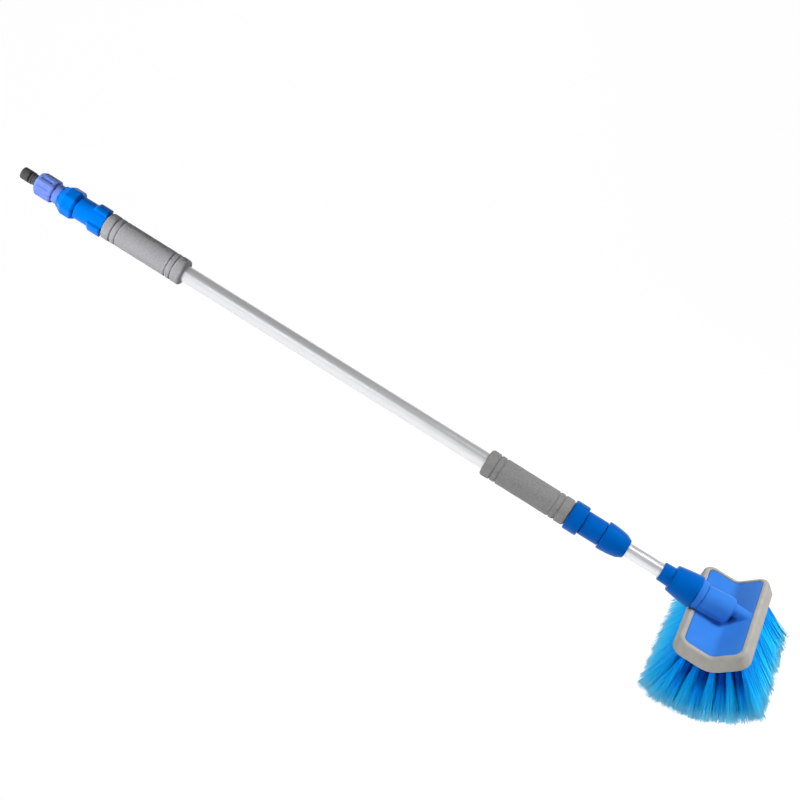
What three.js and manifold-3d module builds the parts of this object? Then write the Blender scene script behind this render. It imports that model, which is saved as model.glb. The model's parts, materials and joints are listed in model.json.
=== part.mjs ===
// A telescopic wash brush that water flows through: a hose plug on a swivelling adaptor, a two-part
// aluminium pole with a twist lock, and a bent brush head with a soft bumper round it.
// Millimetres. The pole's axis is the local X axis, from the hose plug towards the brush. Y is the
// long way of the brush head, and Z is up. The whole part is then tilted to lie on the floor plane.

import * as THREE from 'three';
import { mergeVertices } from 'three/addons/utils/BufferGeometryUtils.js';
import Module from 'manifold-3d';

const wasm = await Module();
wasm.setup();

// Driving dimensions

const fit = 0.3; // between a piece and its seat
const looseFit = 0.6; // round a spigot that turns in its seat
const slidingFit = 0.2; // between the tubes and what slides on them
const overrun = 5; // how far every cutter runs past what it cuts
const weld = 0.0001; // corners this close are one corner

const visibleSides = 24;
const hiddenSides = 16;
const ringSides = 6; // round the section of a rubber ring
const ringSteps = 18; // round its length
const edgeSteps = 2; // in a rounded edge
const curveSteps = 4; // along a curved outline

const plug = {
  tipLength: 20,
  tipDiameter: 18.6,
  tipRounding: 3,
  neckLength: 8,
  neckDiameter: 16.8,
  shankLength: 18,
  shankDiameter: 15.8,
  bore: 9,
  grooveFromTip: 15,
};

const plugRing = { section: 2 };

const inletWasher = { thickness: 2.5 };

const adaptor = {
  nutLength: 31.5,
  nutCorners: 37.2,
  nutChamfer: 4,
  neckLength: 10,
  neckDiameter: 29.4,
  retainerLength: 4,
  retainerDiameter: 32.6,
  spigotLength: 18,
  spigotDiameter: 19,
  bore: 11,
  sideCount: 8,
  fluteLength: 20,
  fluteWidth: 4.5,
  fluteDepth: 0.9,
};

const adaptorRing = { section: 2.2 };

const unionNut = {
  length: 30,
  corners: 46.4,
  leadLength: 11,
  leadDrop: 6.5,
  tailLength: 3,
  tailDrop: 2.5,
  lipLength: 6,
  sideCount: 8,
};

const endFitting = {
  barrelLength: 49,
  barrelDiameter: 35.6,
  threadLength: 19,
  threadDiameter: 33.6,
  tubeSocket: 31,
  lugCount: 3,
  lugLength: 24,
  lugDiameter: 44,
  lugRamp: 4,
  lugAngle: 60,
  lugTurn: 60, // round the barrel, from its lowest line to the middle of the first pad
};

const tubeWasher = { thickness: 2.4 };

const outerTube = { diameter: 25, wall: 1, length: 850 };

const grip = {
  length: 137,
  diameter: 39,
  endDiameter: 40,
  rounding: 4,
  grooveDepth: 1.6,
  grooveWidth: 3,
  firstGroove: 16,
  secondGroove: 25,
};

const lockCollar = { length: 22, diameter: 44.8, rounding: 2.4 };

const lockBody = {
  length: 31,
  diameter: 36,
  rounding: 2,
  tubeSocket: 13,
  spigotLength: 16,
  spigotDiameter: 32.5,
};

const lockSeal = { thickness: 3, diameter: 29 };

const lockCollet = { length: 12, largeDiameter: 29, smallDiameter: 26, slit: 2.2 };

const thrustRing = { thickness: 3, diameter: 27 };

const lockNut = {
  gap: 1.2,
  length: 38.5,
  largeDiameter: 42.2,
  smallDiameter: 27,
  shoulderDiameter: 35.8,
  shoulderFromEnd: 8.5,
};

const lockTravel = 1.25; // axial travel of the nut over half a turn

const innerTube = { diameter: 21, wall: 1, rearRoom: 141.7, showing: 55 };

const guideBush = { length: 60, wall: 0.6 };

const piston = { length: 22, spigotLength: 12, bore: 12, grooveCount: 2, ringSection: 2.2 };

const connector = {
  collarLength: 17.5,
  collarStart: 27.4,
  collarEnd: 29,
  bellLength: 38,
  bellStart: 38.5,
  bellEnd: 50,
  bellRounding: 1.5,
  bulgeShare: 0.3,
  tubeSocket: 30,
  spigotLength: 40,
  spigotDiameter: 22,
  bore: 13,
};

const connectorRing = { section: 2.4, fromEnd: 8 };

const couplingRing = { length: 10.5, startDiameter: 45, endDiameter: 41 };

const head = {
  width: 184,
  backLength: 42,
  frontLength: 39.8,
  bend: 46.8,
  bendRadius: 14,
  panelDrop: 12,
  depth: 23,
  wall: 3.5,
  cornerRadius: 9,
  bendSteps: 5,
  cornerSteps: 5,
};

const socket = { diameter: 38, length: 44.5, pitch: 6, rounding: 3.5, floor: 6, outlet: 9 };

const spur = { length: 26, startDiameter: 19, endDiameter: 17, rise: 9.3 };

const rim = { thickness: 8, rise: 0.5, depth: 22.5, cornerRadius: 17, notch: 2.5 };

const bristlePlate = { thickness: 7, recess: 1, waterSlot: 3 };

const bristle = {
  rowsPerPlate: 5,
  columnsPerPlate: 16,
  length: 86,
  lengthSpread: 7,
  lengthSteps: 7,
  rootWidth: 2.4,
  tipWidth: 5.6,
  tipThickness: 10,
  rootDepth: 3,
  edgeMargin: 3.2,
  backLean: -15,
  frontLean: 58,
  sideLean: 20,
};

const brushReach = 119.5; // from the pole's axis down to where the bristles stand

// Places along the pole, each from the piece before it

const adaptorFace = plug.tipLength + plug.neckLength;
const adaptorNutEnd = adaptorFace + adaptor.nutLength;
const unionFace = adaptorNutEnd + adaptor.neckLength;
const unionEnd = unionFace + unionNut.length;
const retainerFace = unionFace + unionNut.lipLength + fit;
const retainerEnd = retainerFace + adaptor.retainerLength;
const adaptorEnd = retainerEnd + adaptor.spigotLength;
const barrelStart = unionEnd + fit;
const barrelEnd = barrelStart + endFitting.barrelLength;
const tubeStart = barrelEnd - endFitting.tubeSocket;
const tubeEnd = tubeStart + outerTube.length;
const rearGripStart = barrelEnd + fit;
const lockBodyStart = tubeEnd - lockBody.tubeSocket;
const lockCollarStart = lockBodyStart - fit - lockCollar.length;
const frontGripStart = lockCollarStart - fit - grip.length;
const lockLip = tubeEnd + fit;
const lockBodyEnd = lockBodyStart + lockBody.length;
const spigotEnd = lockBodyEnd + lockBody.spigotLength;
const lockNutStart = lockBodyEnd + lockNut.gap;
const lockNutEnd = lockNutStart + lockNut.length;
const sealStart = spigotEnd + fit;
const colletStart = sealStart + lockSeal.thickness + fit;
const thrustStart = colletStart + lockCollet.length + fit;
const nutShoulder = thrustStart + thrustRing.thickness + fit;
const connectorFace = lockNutEnd + innerTube.showing;
const bellStart = connectorFace + connector.collarLength;
const bellEnd = bellStart + connector.bellLength;
const innerTubeEnd = connectorFace + connector.tubeSocket;
const innerTubeStart = tubeStart + innerTube.rearRoom; // room for the piston and the last of the slide
const innerTubeLength = innerTubeEnd - innerTubeStart;
const couplingStart = bellEnd + fit;
const couplingEnd = couplingStart + couplingRing.length;
const headBack = couplingEnd + fit;
const socketEnd = headBack + socket.length;
const connectorEnd = bellEnd + connector.spigotLength;
const creaseX = headBack + head.backLength;
const creaseZ = -head.panelDrop;

// Sizes that two pieces share

const outerBore = outerTube.diameter - 2 * outerTube.wall;
const innerBore = innerTube.diameter - 2 * innerTube.wall;
const tubeSeat = outerTube.diameter + 2 * fit;
const innerTubeSeat = innerTube.diameter + 2 * fit;
const bend = THREE.MathUtils.degToRad(head.bend);
const halfHead = head.width / 2;

// The floor touches the union nut's lowest corner and the bristles under the crease of the head
const ridgeX = unionFace + unionNut.leadLength;
const ridgeDrop = unionNut.corners / 2;
const restTilt = Math.atan2(brushReach - ridgeDrop, creaseX - ridgeX);

// Solids, joined and cut

function toSolid(geometry) {
  const bare = geometry.index ? geometry.toNonIndexed() : geometry.clone();
  bare.deleteAttribute('normal');
  bare.deleteAttribute('uv');
  const merged = mergeVertices(bare, weld);
  const positions = merged.getAttribute('position').array;
  const corners = [];
  for (let i = 0; i < merged.index.count; i += 3) {
    const triple = [merged.index.getX(i), merged.index.getX(i + 1), merged.index.getX(i + 2)];
    if (new Set(triple).size === 3) corners.push(triple);
  }
  if (signedVolume(positions, corners) < 0) corners.forEach((triple) => triple.reverse());
  return new wasm.Manifold(new wasm.Mesh({
    numProp: 3,
    vertProperties: Float32Array.from(positions),
    triVerts: Uint32Array.from(corners.flat()),
  }));
}

function signedVolume(positions, corners) {
  const point = (i) => new THREE.Vector3(...positions.slice(3 * i, 3 * i + 3));
  let total = 0;
  for (const [a, b, c] of corners) total += point(a).dot(point(b).cross(point(c)));
  return total;
}

function toGeometry(solid) {
  const mesh = solid.getMesh();
  const geometry = new THREE.BufferGeometry();
  geometry.setAttribute('position', new THREE.BufferAttribute(mesh.vertProperties, 3));
  geometry.setIndex(new THREE.BufferAttribute(mesh.triVerts, 1));
  geometry.computeVertexNormals();
  return geometry;
}

// A solid of revolution about the pole's axis, from [x, diameter] points that close on themselves
function turned(points, sides) {
  const outline = points.map(([x, diameter]) => new THREE.Vector2(diameter / 2, x));
  outline.push(outline[0].clone());
  return toSolid(new THREE.LatheGeometry(outline, sides).rotateZ(-Math.PI / 2));
}

// A sleeve is its outer outline, from one end to the other, with one straight bore
function sleeve(outer, bore, sides) {
  const first = outer[0][0];
  const last = outer[outer.length - 1][0];
  return turned([...outer, [last, bore], [first, bore]], sides);
}

function rod(start, end, diameter, sides) {
  const geometry = new THREE.CylinderGeometry(diameter / 2, diameter / 2, end - start, sides);
  return toSolid(geometry.rotateZ(-Math.PI / 2).translate((start + end) / 2, 0, 0));
}

function boxBetween(low, high) {
  const size = high.map((value, i) => value - low[i]);
  const middle = high.map((value, i) => (value + low[i]) / 2);
  return toSolid(new THREE.BoxGeometry(...size).translate(...middle));
}

// A rubber ring of round section about the pole's axis
function roundRing(x, middleDiameter, section) {
  const geometry = new THREE.TorusGeometry(middleDiameter / 2, section / 2, ringSides, ringSteps);
  return toGeometry(toSolid(geometry.rotateZ(Math.PI / 2).rotateY(Math.PI / 2).translate(x, 0, 0)));
}

// The outline points of a quarter-round edge at x, which faces outward along the axis or back
function roundedEdge(x, diameter, radius, outward) {
  const points = [];
  for (let i = 0; i <= edgeSteps; i += 1) {
    const angle = (i / edgeSteps) * (Math.PI / 2);
    const along = outward * radius * (1 - Math.sin(angle));
    const drop = radius * (1 - Math.cos(angle));
    points.push([x - along, diameter - 2 * drop]);
  }
  return outward > 0 ? points : points.reverse();
}

// Hose inlet

function hosePlug() {
  const shankEnd = adaptorFace + plug.shankLength;
  const body = sleeve([
    ...roundedEdge(0, plug.tipDiameter, plug.tipRounding, -1),
    [plug.tipLength - (plug.tipDiameter - plug.neckDiameter) / 2, plug.tipDiameter],
    [plug.tipLength, plug.neckDiameter],
    [adaptorFace - fit, plug.neckDiameter],
    [adaptorFace - fit, plug.shankDiameter],
    [shankEnd, plug.shankDiameter],
  ], plug.bore, visibleSides);
  return toGeometry(body.subtract(ringGroove(plug.grooveFromTip, plug.tipDiameter, plugRing.section)));
}

// A square groove for a round ring, with a little room under the ring and beside it
function ringGroove(x, surface, section) {
  const half = section / 2 + fit;
  const floor = surface - 2 * (section + fit);
  const top = surface + overrun;
  return turned([[x - half, top], [x + half, top], [x + half, floor], [x - half, floor]], visibleSides);
}

// The ring that lies in such a groove, as high as the surface beside it
function seatedRing(x, surface, section) {
  return roundRing(x, surface - section, section);
}

const plugSocketEnd = adaptorFace + plug.shankLength + inletWasher.thickness + 2 * fit;

function inletSeal() {
  const start = adaptorFace + plug.shankLength + fit;
  return toGeometry(sleeve([
    [start, plug.shankDiameter],
    [start + inletWasher.thickness, plug.shankDiameter],
  ], plug.bore, hiddenSides));
}

function inletAdaptor() {
  const chamferDrop = adaptor.nutChamfer;
  const nut = sleeve([
    [adaptorFace, adaptor.nutCorners - 2 * chamferDrop],
    [adaptorFace + adaptor.nutChamfer, adaptor.nutCorners],
    [adaptorNutEnd - adaptor.nutChamfer / 2, adaptor.nutCorners],
    [adaptorNutEnd, adaptor.nutCorners - chamferDrop],
  ], adaptor.bore, adaptor.sideCount);
  const neck = sleeve([
    [adaptorNutEnd - overrun, adaptor.neckDiameter],
    [retainerFace, adaptor.neckDiameter],
    [retainerFace, adaptor.retainerDiameter],
    [retainerEnd, adaptor.retainerDiameter],
    [retainerEnd, adaptor.spigotDiameter],
    [adaptorEnd, adaptor.spigotDiameter],
  ], adaptor.bore, visibleSides);
  const bore = rod(adaptorFace - overrun, adaptorEnd + overrun, adaptor.bore, hiddenSides);
  const plugSeat = rod(adaptorFace - overrun, plugSocketEnd, plug.shankDiameter + 2 * fit, hiddenSides);
  const groove = ringGroove(adaptorRingX, adaptor.spigotDiameter, adaptorRing.section);
  let body = nut.add(neck).subtract(bore).subtract(plugSeat).subtract(groove);
  for (const flute of nutFlutes()) body = body.subtract(flute);
  return toGeometry(body);
}

const adaptorRingX = retainerEnd + adaptor.spigotLength / 2;

// A shallow finger flute runs along each flat of the adaptor's nut
function nutFlutes() {
  const flatDistance = (adaptor.nutCorners / 2) * Math.cos(Math.PI / adaptor.sideCount);
  const middle = (adaptorFace + adaptorNutEnd) / 2;
  const flutes = [];
  for (let side = 0; side < adaptor.sideCount; side += 1) {
    const angle = ((side + 1 / 2) / adaptor.sideCount) * 2 * Math.PI;
    const geometry = new THREE.BoxGeometry(adaptor.fluteLength, adaptor.fluteWidth, 2 * adaptor.fluteDepth);
    geometry.translate(middle, 0, flatDistance).rotateX(angle);
    flutes.push(toSolid(geometry));
  }
  return flutes;
}

const adaptorSeat = adaptor.spigotDiameter + 2 * looseFit;

const unionThread = endFitting.threadDiameter + 2 * fit;

function unionNutShape() {
  const nut = sleeve([
    [unionFace, unionNut.corners - 2 * unionNut.leadDrop],
    [unionFace + unionNut.leadLength, unionNut.corners],
    [unionEnd - unionNut.tailLength, unionNut.corners],
    [unionEnd, unionNut.corners - 2 * unionNut.tailDrop],
  ], adaptor.neckDiameter - overrun, unionNut.sideCount);
  const lipEnd = unionFace + unionNut.lipLength;
  const mouth = rod(unionFace - overrun, unionEnd, adaptor.neckDiameter + 2 * fit, visibleSides);
  const thread = rod(lipEnd, unionEnd + overrun, unionThread, visibleSides);
  return toGeometry(nut.subtract(mouth).subtract(thread));
}

function endFittingShape() {
  const threadStart = barrelStart - endFitting.threadLength;
  const barrel = sleeve([
    [threadStart, endFitting.threadDiameter],
    [barrelStart, endFitting.threadDiameter],
    [barrelStart, endFitting.barrelDiameter],
    [barrelEnd, endFitting.barrelDiameter],
  ], adaptorSeat, visibleSides);
  const washerSeat = tubeStart - tubeWasher.thickness - 2 * fit;
  const tubeSocket = rod(washerSeat, barrelEnd + overrun, tubeSeat, visibleSides);
  return toGeometry(barrel.add(gripLugs()).subtract(tubeSocket));
}

// Raised pads round the barrel's end give the hand a hold
function gripLugs() {
  const lugStart = barrelEnd - endFitting.lugLength;
  const collar = sleeve([
    [lugStart, endFitting.barrelDiameter - fit],
    [lugStart + endFitting.lugRamp, endFitting.lugDiameter],
    [barrelEnd, endFitting.lugDiameter],
  ], tubeSeat, 2 * visibleSides);
  const sector = new THREE.Shape();
  const halfAngle = THREE.MathUtils.degToRad(endFitting.lugAngle / 2);
  sector.moveTo(0, 0);
  sector.lineTo(endFitting.lugDiameter, -endFitting.lugDiameter * Math.tan(halfAngle));
  sector.lineTo(endFitting.lugDiameter, endFitting.lugDiameter * Math.tan(halfAngle));
  sector.closePath();
  const depth = endFitting.lugLength + 2 * overrun;
  const firstTurn = THREE.MathUtils.degToRad(endFitting.lugTurn);
  const sectors = [];
  for (let lug = 0; lug < endFitting.lugCount; lug += 1) {
    const wedge = new THREE.ExtrudeGeometry(sector, { depth, bevelEnabled: false });
    wedge.translate(0, 0, lugStart - overrun).rotateY(Math.PI / 2);
    sectors.push(toSolid(wedge.rotateX(firstTurn + (lug / endFitting.lugCount) * 2 * Math.PI)));
  }
  return collar.intersect(wasm.Manifold.union(sectors));
}

function tubeSeal() {
  const start = tubeStart - fit - tubeWasher.thickness;
  return toGeometry(sleeve([
    [start, outerTube.diameter],
    [start + tubeWasher.thickness, outerTube.diameter],
  ], adaptorSeat, hiddenSides));
}

// Pole

function tube(start, length, diameter, wall) {
  const outer = [[start, diameter], [start + length, diameter]];
  return toGeometry(sleeve(outer, diameter - 2 * wall, visibleSides));
}

function foamGrip(start) {
  const end = start + grip.length;
  const grooves = [grip.firstGroove, grip.secondGroove];
  const fromStart = grooves.map((distance) => start + distance);
  const fromEnd = grooves.map((distance) => end - distance).reverse();
  return toGeometry(sleeve([
    ...roundedEdge(start, grip.endDiameter, grip.rounding, -1),
    ...fromStart.flatMap(grooveOutline),
    ...fromEnd.flatMap(grooveOutline),
    ...roundedEdge(end, grip.endDiameter, grip.rounding, 1),
  ], tubeSeat, visibleSides));
}

function grooveOutline(x) {
  return [
    [x - grip.grooveWidth / 2, grip.diameter],
    [x, grip.diameter - 2 * grip.grooveDepth],
    [x + grip.grooveWidth / 2, grip.diameter],
  ];
}

// Twist lock

function lockCollarShape() {
  const end = lockCollarStart + lockCollar.length;
  return toGeometry(sleeve([
    ...roundedEdge(lockCollarStart, lockCollar.diameter, lockCollar.rounding, -1),
    ...roundedEdge(end, lockCollar.diameter, lockCollar.rounding, 1),
  ], tubeSeat, visibleSides));
}

function lockBodyShape() {
  const body = sleeve([
    ...roundedEdge(lockBodyStart, lockBody.diameter, lockBody.rounding, -1),
    ...roundedEdge(lockBodyEnd, lockBody.diameter, lockBody.rounding, 1),
    [lockBodyEnd, lockBody.spigotDiameter],
    [spigotEnd, lockBody.spigotDiameter],
  ], innerTubeSeat, visibleSides);
  return toGeometry(body.subtract(rod(lockBodyStart - overrun, lockLip, tubeSeat, visibleSides)));
}

function lockSealShape() {
  return toGeometry(sleeve([
    [sealStart, lockSeal.diameter],
    [sealStart + lockSeal.thickness, lockSeal.diameter],
  ], innerTubeSeat, hiddenSides));
}

// A split cone that the nut squeezes onto the inner tube
function lockColletShape() {
  const end = colletStart + lockCollet.length;
  const cone = sleeve([
    [colletStart, lockCollet.largeDiameter],
    [colletStart + lockCollet.length / 2, lockCollet.largeDiameter],
    [end, lockCollet.smallDiameter],
  ], innerTubeSeat, hiddenSides);
  const half = lockCollet.slit / 2;
  const slit = boxBetween([colletStart - overrun, -half, 0], [end + overrun, half, lockCollet.largeDiameter]);
  return toGeometry(cone.subtract(slit));
}

function lockThrustRing() {
  return toGeometry(sleeve([
    [thrustStart, thrustRing.diameter],
    [thrustStart + thrustRing.thickness, thrustRing.diameter],
  ], innerTubeSeat, hiddenSides));
}

function lockNutShape() {
  const shoulderX = lockNutEnd - lockNut.shoulderFromEnd;
  const outer = sleeve([
    ...ogive(lockNutStart, shoulderX, lockNut.largeDiameter, lockNut.shoulderDiameter),
    [lockNutEnd, lockNut.smallDiameter],
  ], innerTubeSeat, visibleSides);
  const threadBore = Math.max(lockBody.spigotDiameter, lockSeal.diameter, lockCollet.largeDiameter) + 2 * fit;
  const colletBore = Math.max(lockCollet.largeDiameter, thrustRing.diameter) + 2 * fit;
  const threadEnd = colletStart + lockTravel;
  const hollow = turned([
    [lockNutStart - overrun, threadBore],
    [threadEnd, threadBore],
    [threadEnd + (threadBore - colletBore) / 2, colletBore],
    [nutShoulder, colletBore],
    [nutShoulder, innerTubeSeat - fit],
    [lockNutStart - overrun, innerTubeSeat - fit],
  ], visibleSides);
  return toGeometry(outer.subtract(hollow));
}

// A curve that leaves the large end level and closes in on the small end
function ogive(start, end, startDiameter, endDiameter) {
  const points = [];
  for (let i = 0; i <= curveSteps; i += 1) {
    const share = i / curveSteps;
    const drop = (startDiameter - endDiameter) * share ** 2;
    points.push([start + (end - start) * share, startDiameter - drop]);
  }
  return points;
}

// Inner pole

const bushStart = innerTubeStart;
const bushBore = innerTube.diameter + slidingFit;

function guideBushShape() {
  return toGeometry(sleeve([
    [bushStart, bushBore + 2 * guideBush.wall],
    [bushStart + guideBush.length, bushBore + 2 * guideBush.wall],
  ], bushBore, visibleSides));
}

const pistonEnd = innerTubeStart - fit;
const pistonStart = pistonEnd - piston.length;
const pistonDiameter = outerBore - 2 * slidingFit;
const pistonGrooves = Array.from(
  { length: piston.grooveCount },
  (_, i) => pistonStart + (piston.length * (i + 1)) / (piston.grooveCount + 1),
);

function guidePiston() {
  let body = sleeve([
    [pistonStart, pistonDiameter],
    [pistonEnd, pistonDiameter],
    [pistonEnd, innerBore - 2 * fit],
    [innerTubeStart + piston.spigotLength, innerBore - 2 * fit],
  ], piston.bore, visibleSides);
  for (const x of pistonGrooves) body = body.subtract(ringGroove(x, pistonDiameter, piston.ringSection));
  return toGeometry(body);
}

function pistonRing(x) {
  return seatedRing(x, pistonDiameter, piston.ringSection);
}

// Head connector

function headConnector() {
  const body = sleeve([
    [connectorFace, connector.collarStart],
    [bellStart, connector.collarEnd],
    [bellStart, connector.bellStart],
    ...bellOutline(),
    [bellEnd, connector.bellEnd - 2 * connector.bellRounding],
    [bellEnd, connector.spigotDiameter],
    [connectorEnd, connector.spigotDiameter],
  ], connector.bore, visibleSides);
  const tubeSocket = rod(connectorFace - overrun, innerTubeEnd + fit, innerTubeSeat, visibleSides);
  const groove = ringGroove(connectorRingX, connector.spigotDiameter, connectorRing.section);
  return toGeometry(body.subtract(tubeSocket).subtract(groove));
}

const connectorRingX = connectorEnd - connectorRing.fromEnd;

// The bell swells from its step, a little faster at first
function bellOutline() {
  const points = [];
  const last = bellEnd - connector.bellRounding;
  for (let i = 1; i <= curveSteps; i += 1) {
    const share = i / curveSteps;
    const swellShare = share + connector.bulgeShare * share * (1 - share);
    const swell = (connector.bellEnd - connector.bellStart) * swellShare;
    points.push([bellStart + (last - bellStart) * share, connector.bellStart + swell]);
  }
  return points;
}

function couplingRingShape() {
  return toGeometry(sleeve([
    [couplingStart, couplingRing.startDiameter],
    [couplingEnd, couplingRing.endDiameter],
  ], connector.spigotDiameter + 2 * fit, visibleSides));
}

// Brush head
// The block is a slab bent at a crease. The panels run back and forward from the crease, and every
// offset is measured square to them. The bend is round, about a line above the crease.

const bendInset = head.bendRadius * Math.tan(bend / 2);

function panelPoint(along, offset) {
  if (along <= 0) return [creaseX + along, creaseZ + offset];
  return [
    creaseX + along * Math.cos(bend) - offset * Math.sin(bend),
    creaseZ + along * Math.sin(bend) + offset * Math.cos(bend),
  ];
}

function bendPoint(angle, offset) {
  const radius = head.bendRadius - offset;
  return [
    creaseX - bendInset + radius * Math.sin(angle),
    creaseZ + head.bendRadius - radius * Math.cos(angle),
  ];
}

function bendOutline(offset) {
  const points = [];
  for (let i = 0; i <= head.bendSteps; i += 1) points.push(bendPoint((i / head.bendSteps) * bend, offset));
  return points;
}

function bentSection(back, front, top, bottom) {
  return [
    panelPoint(-back, bottom),
    panelPoint(-back, top),
    ...bendOutline(top),
    panelPoint(front, top),
    panelPoint(front, bottom),
    ...bendOutline(bottom).reverse(),
  ];
}

// An X and Z outline stretched along Y
function stretched(points, halfWidth) {
  const shape = new THREE.Shape(points.map(([x, z]) => new THREE.Vector2(x, z)));
  const geometry = new THREE.ExtrudeGeometry(shape, { depth: 2 * halfWidth, bevelEnabled: false });
  return toSolid(geometry.translate(0, 0, -halfWidth).rotateX(Math.PI / 2));
}

// What a rounded corner leaves out of a square one, in a panel's own plane
function cornerCutter(edge, halfWidth, radius, reach) {
  const shape = new THREE.Shape();
  shape.moveTo(edge - radius, halfWidth + overrun);
  for (let i = 0; i <= head.cornerSteps; i += 1) {
    const angle = (i / head.cornerSteps) * (Math.PI / 2);
    shape.lineTo(edge - radius + radius * Math.sin(angle), halfWidth - radius + radius * Math.cos(angle));
  }
  shape.lineTo(edge + overrun, halfWidth - radius);
  shape.lineTo(edge + overrun, halfWidth + overrun);
  shape.closePath();
  const geometry = new THREE.ExtrudeGeometry(shape, { depth: 2 * reach, bevelEnabled: false });
  return geometry.translate(0, 0, -reach);
}

function bentSlab({ back, front, halfWidth, top, bottom, radius }) {
  let slab = stretched(bentSection(back, front, top, bottom), halfWidth);
  const reach = Math.max(Math.abs(top), Math.abs(bottom)) + overrun;
  for (const side of [1, -1]) {
    const atBack = cornerCutter(back, halfWidth, radius, reach).scale(-1, side, 1);
    const atFront = cornerCutter(front, halfWidth, radius, reach).scale(1, side, 1).rotateY(-bend);
    for (const cutter of [atBack, atFront]) {
      slab = slab.subtract(toSolid(cutter.translate(creaseX, 0, creaseZ)));
    }
  }
  return slab;
}

function blockOuter(grow, top, bottom, radius) {
  return bentSlab({
    back: head.backLength + grow,
    front: head.frontLength + grow,
    halfWidth: halfHead + grow,
    top,
    bottom,
    radius,
  });
}

function brushBlock() {
  const shell = blockOuter(0, 0, -head.depth, head.cornerRadius);
  const tray = blockOuter(-head.wall, -head.wall, -head.depth - overrun, head.cornerRadius - head.wall);
  const boreEnd = socketEnd - socket.floor;
  const bore = rod(headBack - overrun, boreEnd, connector.spigotDiameter + 2 * looseFit, visibleSides);
  const outletRadius = socket.outlet / 2;
  const outlet = new THREE.CylinderGeometry(outletRadius, outletRadius, socket.diameter, hiddenSides);
  outlet.rotateX(Math.PI / 2).translate(boreEnd - socket.outlet, 0, -socket.diameter / 2);
  const solid = shell.subtract(tray).add(socketBarrel()).add(frontSpur());
  return toGeometry(solid.subtract(bore).subtract(toSolid(outlet)));
}

// The socket's outside rises a little towards its closed end
function socketBarrel() {
  const barrel = turned([
    [-overrun, socket.diameter],
    [socket.length - socket.rounding, socket.diameter],
    [socket.length, socket.diameter - 2 * socket.rounding],
    [socket.length, 0],
    [-overrun, 0],
  ], visibleSides);
  return barrel.rotate([0, -socket.pitch, 0]).translate([headBack, 0, 0]).trimByPlane([1, 0, 0], headBack);
}

// A rib from the socket's end stiffens the front panel
function frontSpur() {
  const start = socketEnd - socket.rounding;
  const end = socketEnd + spur.length;
  const cone = turned([
    [start, spur.startDiameter],
    [end, spur.endDiameter],
    [end, 0],
    [start, 0],
  ], hiddenSides).translate([0, 0, spur.rise]);
  const above = stretched([
    [creaseX - head.backLength, creaseZ - head.wall / 2],
    [creaseX, creaseZ - head.wall / 2],
    panelPoint(head.frontLength - head.wall / 2, -head.wall / 2),
    panelPoint(head.frontLength - head.wall / 2, socket.diameter),
    [creaseX - head.backLength, creaseZ + 2 * socket.diameter],
  ], halfHead);
  return cone.intersect(above);
}

function bumperRim() {
  const outer = blockOuter(rim.thickness, rim.rise, -rim.depth, rim.cornerRadius);
  const inner = blockOuter(fit, rim.rise + overrun, -rim.depth - overrun, head.cornerRadius + fit);
  const notchEnd = headBack + overrun;
  const notchDiameter = couplingRing.startDiameter + 2 * rim.notch;
  const notch = rod(headBack - rim.thickness - overrun, notchEnd, notchDiameter, visibleSides);
  return toGeometry(outer.subtract(inner).subtract(notch));
}

// Bristles
// A place on the underside is its distance along the bent section, from the back edge to the front.

const plateBottom = -(head.depth - bristlePlate.recess);
const plateEdge = head.wall + fit;
const plateBack = head.backLength - plateEdge;
const plateFront = head.frontLength - plateEdge;
const bendLength = (head.bendRadius - plateBottom) * bend;
const undersideLength = plateBack + plateFront - 2 * bendInset + bendLength;

function undersidePoint(distance, depth) {
  const fromBend = distance - (plateBack - bendInset);
  if (fromBend < 0) return panelPoint(fromBend - bendInset, depth);
  if (fromBend > bendLength) return panelPoint(fromBend - bendLength + bendInset, depth);
  return bendPoint((fromBend / bendLength) * bend, depth);
}

const squareCorners = [[1, 1], [-1, 1], [-1, -1], [1, -1]];

function strand(distance, y, length) {
  const sideShare = y / halfHead;
  const lean = THREE.MathUtils.degToRad(
    THREE.MathUtils.lerp(bristle.backLean, bristle.frontLean, distance / undersideLength),
  );
  const side = THREE.MathUtils.degToRad(bristle.sideLean) * sideShare;
  const way = new THREE.Vector3(Math.sin(lean), Math.tan(side), -Math.cos(lean)).normalize();
  const across = new THREE.Vector3(0, 1, 0).addScaledVector(way, -way.y).normalize();
  const along = new THREE.Vector3().crossVectors(across, way);
  const [x, z] = undersidePoint(distance, plateBottom + bristle.rootDepth);
  const root = new THREE.Vector3(x, y, z);
  const tip = root.clone().addScaledVector(way, bristle.rootDepth + length);
  const ring = (middle, width, thickness) => squareCorners.map(([a, b]) => middle.clone()
    .addScaledVector(across, (a * width) / 2)
    .addScaledVector(along, (b * thickness) / 2));
  const corners = [
    ...ring(root, bristle.rootWidth, bristle.rootWidth),
    ...ring(tip, bristle.tipWidth, bristle.tipThickness),
  ];
  const geometry = new THREE.BufferGeometry().setFromPoints(corners);
  geometry.setIndex([
    0, 1, 2, 0, 2, 3, 4, 6, 5, 4, 7, 6,
    0, 5, 1, 0, 4, 5, 1, 6, 2, 1, 5, 6, 2, 7, 3, 2, 6, 7, 3, 4, 0, 3, 7, 4,
  ]);
  return toSolid(geometry);
}

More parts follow.
